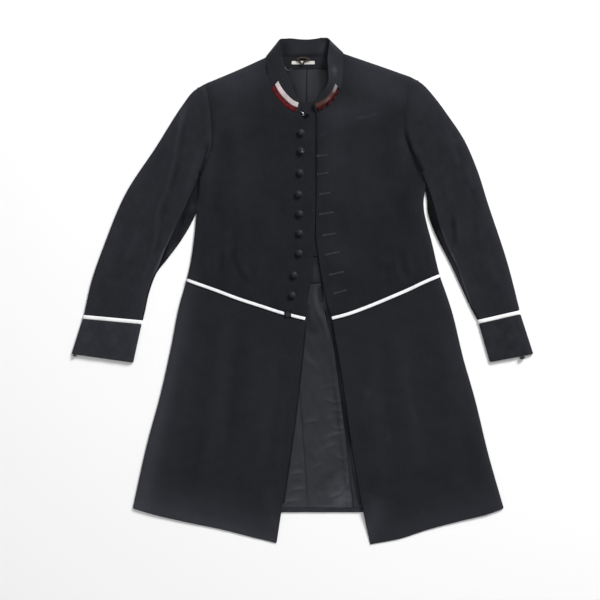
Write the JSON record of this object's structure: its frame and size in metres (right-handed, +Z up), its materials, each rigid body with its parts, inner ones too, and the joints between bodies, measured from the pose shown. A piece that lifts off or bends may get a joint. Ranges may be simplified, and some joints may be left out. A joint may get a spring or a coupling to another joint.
{
  "type": "military dress coat, laid flat",
  "caption": "Knee-length dark wool frock coat laid flat, front open, with stand collar, covered buttons, buttonholes, white waist and cuff piping and a grey skirt lining.",
  "frame": {"origin": "middle of the coat's box, on the surface it lies on", "axes": "+Z up from the surface, +Y from hem to collar, +X towards the front with the buttonholes"},
  "size_m": [0.996, 1.0904, 0.0299],
  "materials": {
    "wool": "matt woven wool",
    "wool_inside": "matt woven wool, inner side",
    "lining": "soft satin lining",
    "white_cord": "matt white cloth and tape",
    "red_cloth": "matt dark red cloth",
    "tan_cloth": "matt faded cloth",
    "brown_cord": "brown cord",
    "steel": "worn bright wire"
  },
  "bodies": {
    "root": {"back_bodice_left": "wool", "back_bodice_right": "wool", "back_skirt_left": "wool", "back_skirt_right": "wool", "front_bodice_left": "wool", "front_bodice_right": "wool", "front_skirt_left": "wool", "front_skirt_right": "wool", "sleeve_top_left": "wool", "sleeve_top_right": "wool", "sleeve_under_left": "wool", "sleeve_under_right": "wool", "cuff_left": "wool", "cuff_right": "wool", "collar": "wool", "piping_loop": "wool", "button_1": "wool", "button_2": "wool", "button_3": "wool", "button_4": "wool", "button_5": "wool", "button_6": "wool", "button_7": "wool", "button_8": "wool", "button_9": "wool", "cuff_button_left": "wool", "cuff_button_right": "wool", "waist_piping_left": "white_cord", "waist_piping_right": "white_cord", "cuff_piping_left": "white_cord", "cuff_piping_right": "white_cord", "label_tape": "white_cord", "collar_stripe_light_left": "white_cord", "collar_stripe_light_right": "tan_cloth", "collar_stripe_red_left": "red_cloth", "collar_stripe_red_right": "red_cloth", "neck_facing": "wool_inside", "waist_stay": "wool_inside", "back_hem": "wool_inside", "skirt_facing_left": "wool_inside", "skirt_facing_right": "wool_inside", "neck_lining_left": "lining", "neck_lining_right": "lining", "skirt_lining_left": "lining", "skirt_lining_middle": "lining", "skirt_lining_right": "lining", "hanger_loop": "brown_cord", "collar_hook": "steel", "neck_tab": "steel"}
  },
  "joints": []
}
